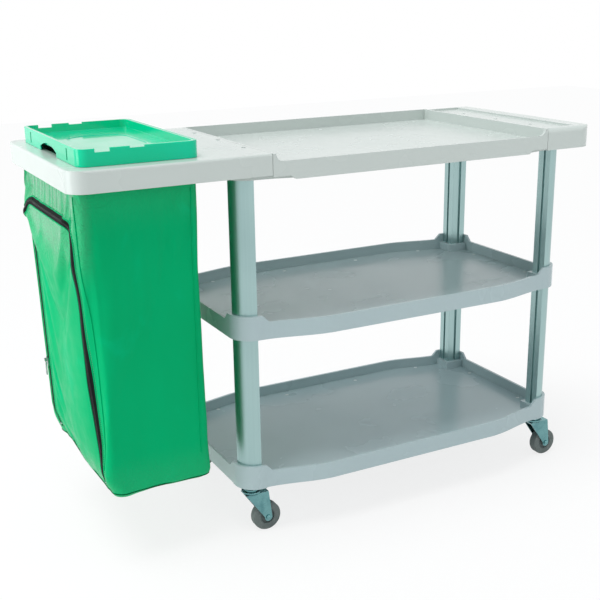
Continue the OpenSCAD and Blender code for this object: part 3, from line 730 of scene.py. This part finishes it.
def make_piping(skin):
    """Corded seams down the four corners."""
    runs = []
    top, bottom = 0.052, KNEE_S - 0.004
    steps = [top + (bottom - top) * k / 90 for k in range(91)]
    for y in (-1, 1):
        runs.append([skin.end(y * (BAG_HALF - 0.026), s) for s in steps])
        inward = Vector((0, -y, 0))
        runs.append([skin.at(Vector((BAG_X1 - 0.020, y * (BAG_HALF + 0.1), BAG_TOP - s)), inward)
                     for s in steps])
    for k, run in enumerate(runs):
        run = [r for r in run if r]
        verts, faces = tube([p + n * PIPING_RADIUS / 2 for p, n in run], [n for _, n in run],
                            PIPING_RADIUS)
        make_object(f"bag_corner_piping_{k + 1}", verts, faces, MATERIALS["bag_vinyl"],
                                "cart")
    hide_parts("bag_piping")


def make_bottom_seam(skin):
    """Welt where the wall panels meet the bottom panel."""
    centre = Vector(((BAG_X0 + BAG_LEAN + BAG_HI.x) / 2, 0, BAG_BOTTOM + 0.010))
    points, normals = [], []
    half = Vector(((BAG_HI.x - BAG_X0 - BAG_LEAN) / 2, BAG_HALF, 0))
    for k in range(160):
        a = 2 * math.pi * k / 160
        c, s = math.cos(a), math.sin(a)
        way = Vector((half.x * math.copysign(abs(c) ** SQUARENESS, c),
                      half.y * math.copysign(abs(s) ** SQUARENESS, s), 0))
        hit = skin.at(centre + way * 1.35, -way.normalized())
        if hit:
            points.append(hit[0] + hit[1] * 0.0004)
            normals.append(hit[1])
    verts, faces = tube(points, normals, WELT_RADIUS, closed=True)
    make_object("bag_bottom_seam", verts, faces, SEAM, "cart")


# ---------------------------------------------------------------- stage
CAMERA_PLACE = (-1.2443, -2.3240, 1.3138)
CAMERA_TURN = (27.87, 17.296, -0.754)  # azimuth, elevation and roll in degrees
CAMERA_LENS = 60.94
CAMERA_SHIFT = (-0.0114, 0.0148)
FLOOR_WHITE = 0.80  # how much of the floor's own shading gives way to white
SKY_STRENGTH = 0.52


def white_mix(tree, strength):
    """How much of plain white the eye and mirrors see: strength for them, 0 for the lamps' light."""
    path = tree.nodes.new("ShaderNodeLightPath")
    seen = tree.nodes.new("ShaderNodeMath")
    seen.operation = "MAXIMUM"
    tree.links.new(path.outputs["Is Camera Ray"], seen.inputs[0])
    tree.links.new(path.outputs["Is Glossy Ray"], seen.inputs[1])
    also = tree.nodes.new("ShaderNodeMath")
    also.operation = "MAXIMUM"
    tree.links.new(seen.outputs[0], also.inputs[0])
    tree.links.new(path.outputs["Is Transmission Ray"], also.inputs[1])
    part = tree.nodes.new("ShaderNodeMath")
    part.operation = "MULTIPLY"
    part.inputs[1].default_value = strength
    tree.links.new(also.outputs[0], part.inputs[0])
    return part.outputs[0]


def make_floor():
    size = 9.0
    points = [Vector((x * size, y * size, -0.0005)) for x, y in ((-1, -1), (1, -1), (1, 1), (-1, 1))]
    mesh = bpy.data.meshes.new("floor")
    mesh.from_pydata(points, [], [(0, 1, 2, 3)])
    floor = bpy.data.objects.new("floor", mesh)
    bpy.context.scene.collection.objects.link(floor)
    material = bpy.data.materials.new("floor")
    material.use_nodes = True
    tree = material.node_tree
    shader = tree.nodes["Principled BSDF"]
    shader.inputs["Base Color"].default_value = (0.86, 0.86, 0.86, 1)
    shader.inputs["Roughness"].default_value = 0.9
    shader.inputs["Specular IOR Level"].default_value = 0.0
    glow = tree.nodes.new("ShaderNodeEmission")
    mix = tree.nodes.new("ShaderNodeMixShader")
    tree.links.new(white_mix(tree, FLOOR_WHITE), mix.inputs[0])
    tree.links.new(shader.outputs[0], mix.inputs[1])
    tree.links.new(glow.outputs[0], mix.inputs[2])
    tree.links.new(mix.outputs[0], tree.nodes["Material Output"].inputs["Surface"])
    mesh.materials.append(material)


def make_world():
    world = bpy.data.worlds.new("studio")
    world.use_nodes = True
    tree = world.node_tree
    plain = tree.nodes["Background"]
    plain.inputs["Color"].default_value = (0.96, 0.98, 1.0, 1)
    plain.inputs["Strength"].default_value = SKY_STRENGTH
    white = tree.nodes.new("ShaderNodeBackground")
    white.inputs["Color"].default_value = (1, 1, 1, 1)
    white.inputs["Strength"].default_value = 1.0
    mix = tree.nodes.new("ShaderNodeMixShader")
    tree.links.new(white_mix(tree, 1.0), mix.inputs[0])
    tree.links.new(plain.outputs[0], mix.inputs[1])
    tree.links.new(white.outputs[0], mix.inputs[2])
    tree.links.new(mix.outputs[0], tree.nodes["World Output"].inputs["Surface"])
    bpy.context.scene.world = world


def lamp(name, kind, place, target, energy, size=1.0):
    data = bpy.data.lights.new(name, kind)
    data.energy = energy
    if kind == "SUN":
        data.angle = size
    else:
        data.size = size
    made = bpy.data.objects.new(name, data)
    made.location = place
    made.rotation_euler = (Vector(target) - Vector(place)).to_track_quat("-Z", "Y").to_euler()
    bpy.context.scene.collection.objects.link(made)


def make_lamps():
    middle = (0, 0, 0.6)
    lamp("key", "SUN", (-1.2, -0.25, 4.6), middle, 1.75, math.radians(34))
    lamp("left_box", "AREA", (-3.4, 0.4, 1.2), (-0.5, 0, 0.6), 46, 1.6)
    lamp("front_fill", "AREA", (1.2, -3.8, 2.4), (0.2, 0, 0.5), 14, 2.0)


def make_camera():
    """Seen from the bag end's front corner, a little above the deck."""
    azimuth, elevation, roll = (math.radians(angle) for angle in CAMERA_TURN)
    ahead = Vector((math.sin(azimuth) * math.cos(elevation), math.cos(azimuth) * math.cos(elevation),
                    -math.sin(elevation)))
    right = ahead.cross(Vector((0, 0, 1))).normalized()
    up = right.cross(ahead)
    across = right * math.cos(roll) + up * math.sin(roll)
    above = up * math.cos(roll) - right * math.sin(roll)
    data = bpy.data.cameras.new("camera")
    data.sensor_width = 36.0
    data.lens = CAMERA_LENS
    data.shift_x, data.shift_y = CAMERA_SHIFT
    camera = bpy.data.objects.new("camera", data)
    turn = Matrix((across, above, -ahead)).transposed().to_4x4()
    camera.matrix_world = Matrix.Translation(CAMERA_PLACE) @ turn
    bpy.context.scene.collection.objects.link(camera)
    bpy.context.scene.camera = camera


make_camera()
make_world()
make_floor()
make_lamps()
dress_cad_nodes()
bag = make_bag()
skin = Skin(bag)
make_zip_tape(skin)
make_zip_teeth(skin)
make_zip_stops(skin)
make_stitches(skin)
make_binding(skin)
make_piping(skin)
make_bottom_seam(skin)

bpy.context.scene.view_settings.view_transform = "Standard"
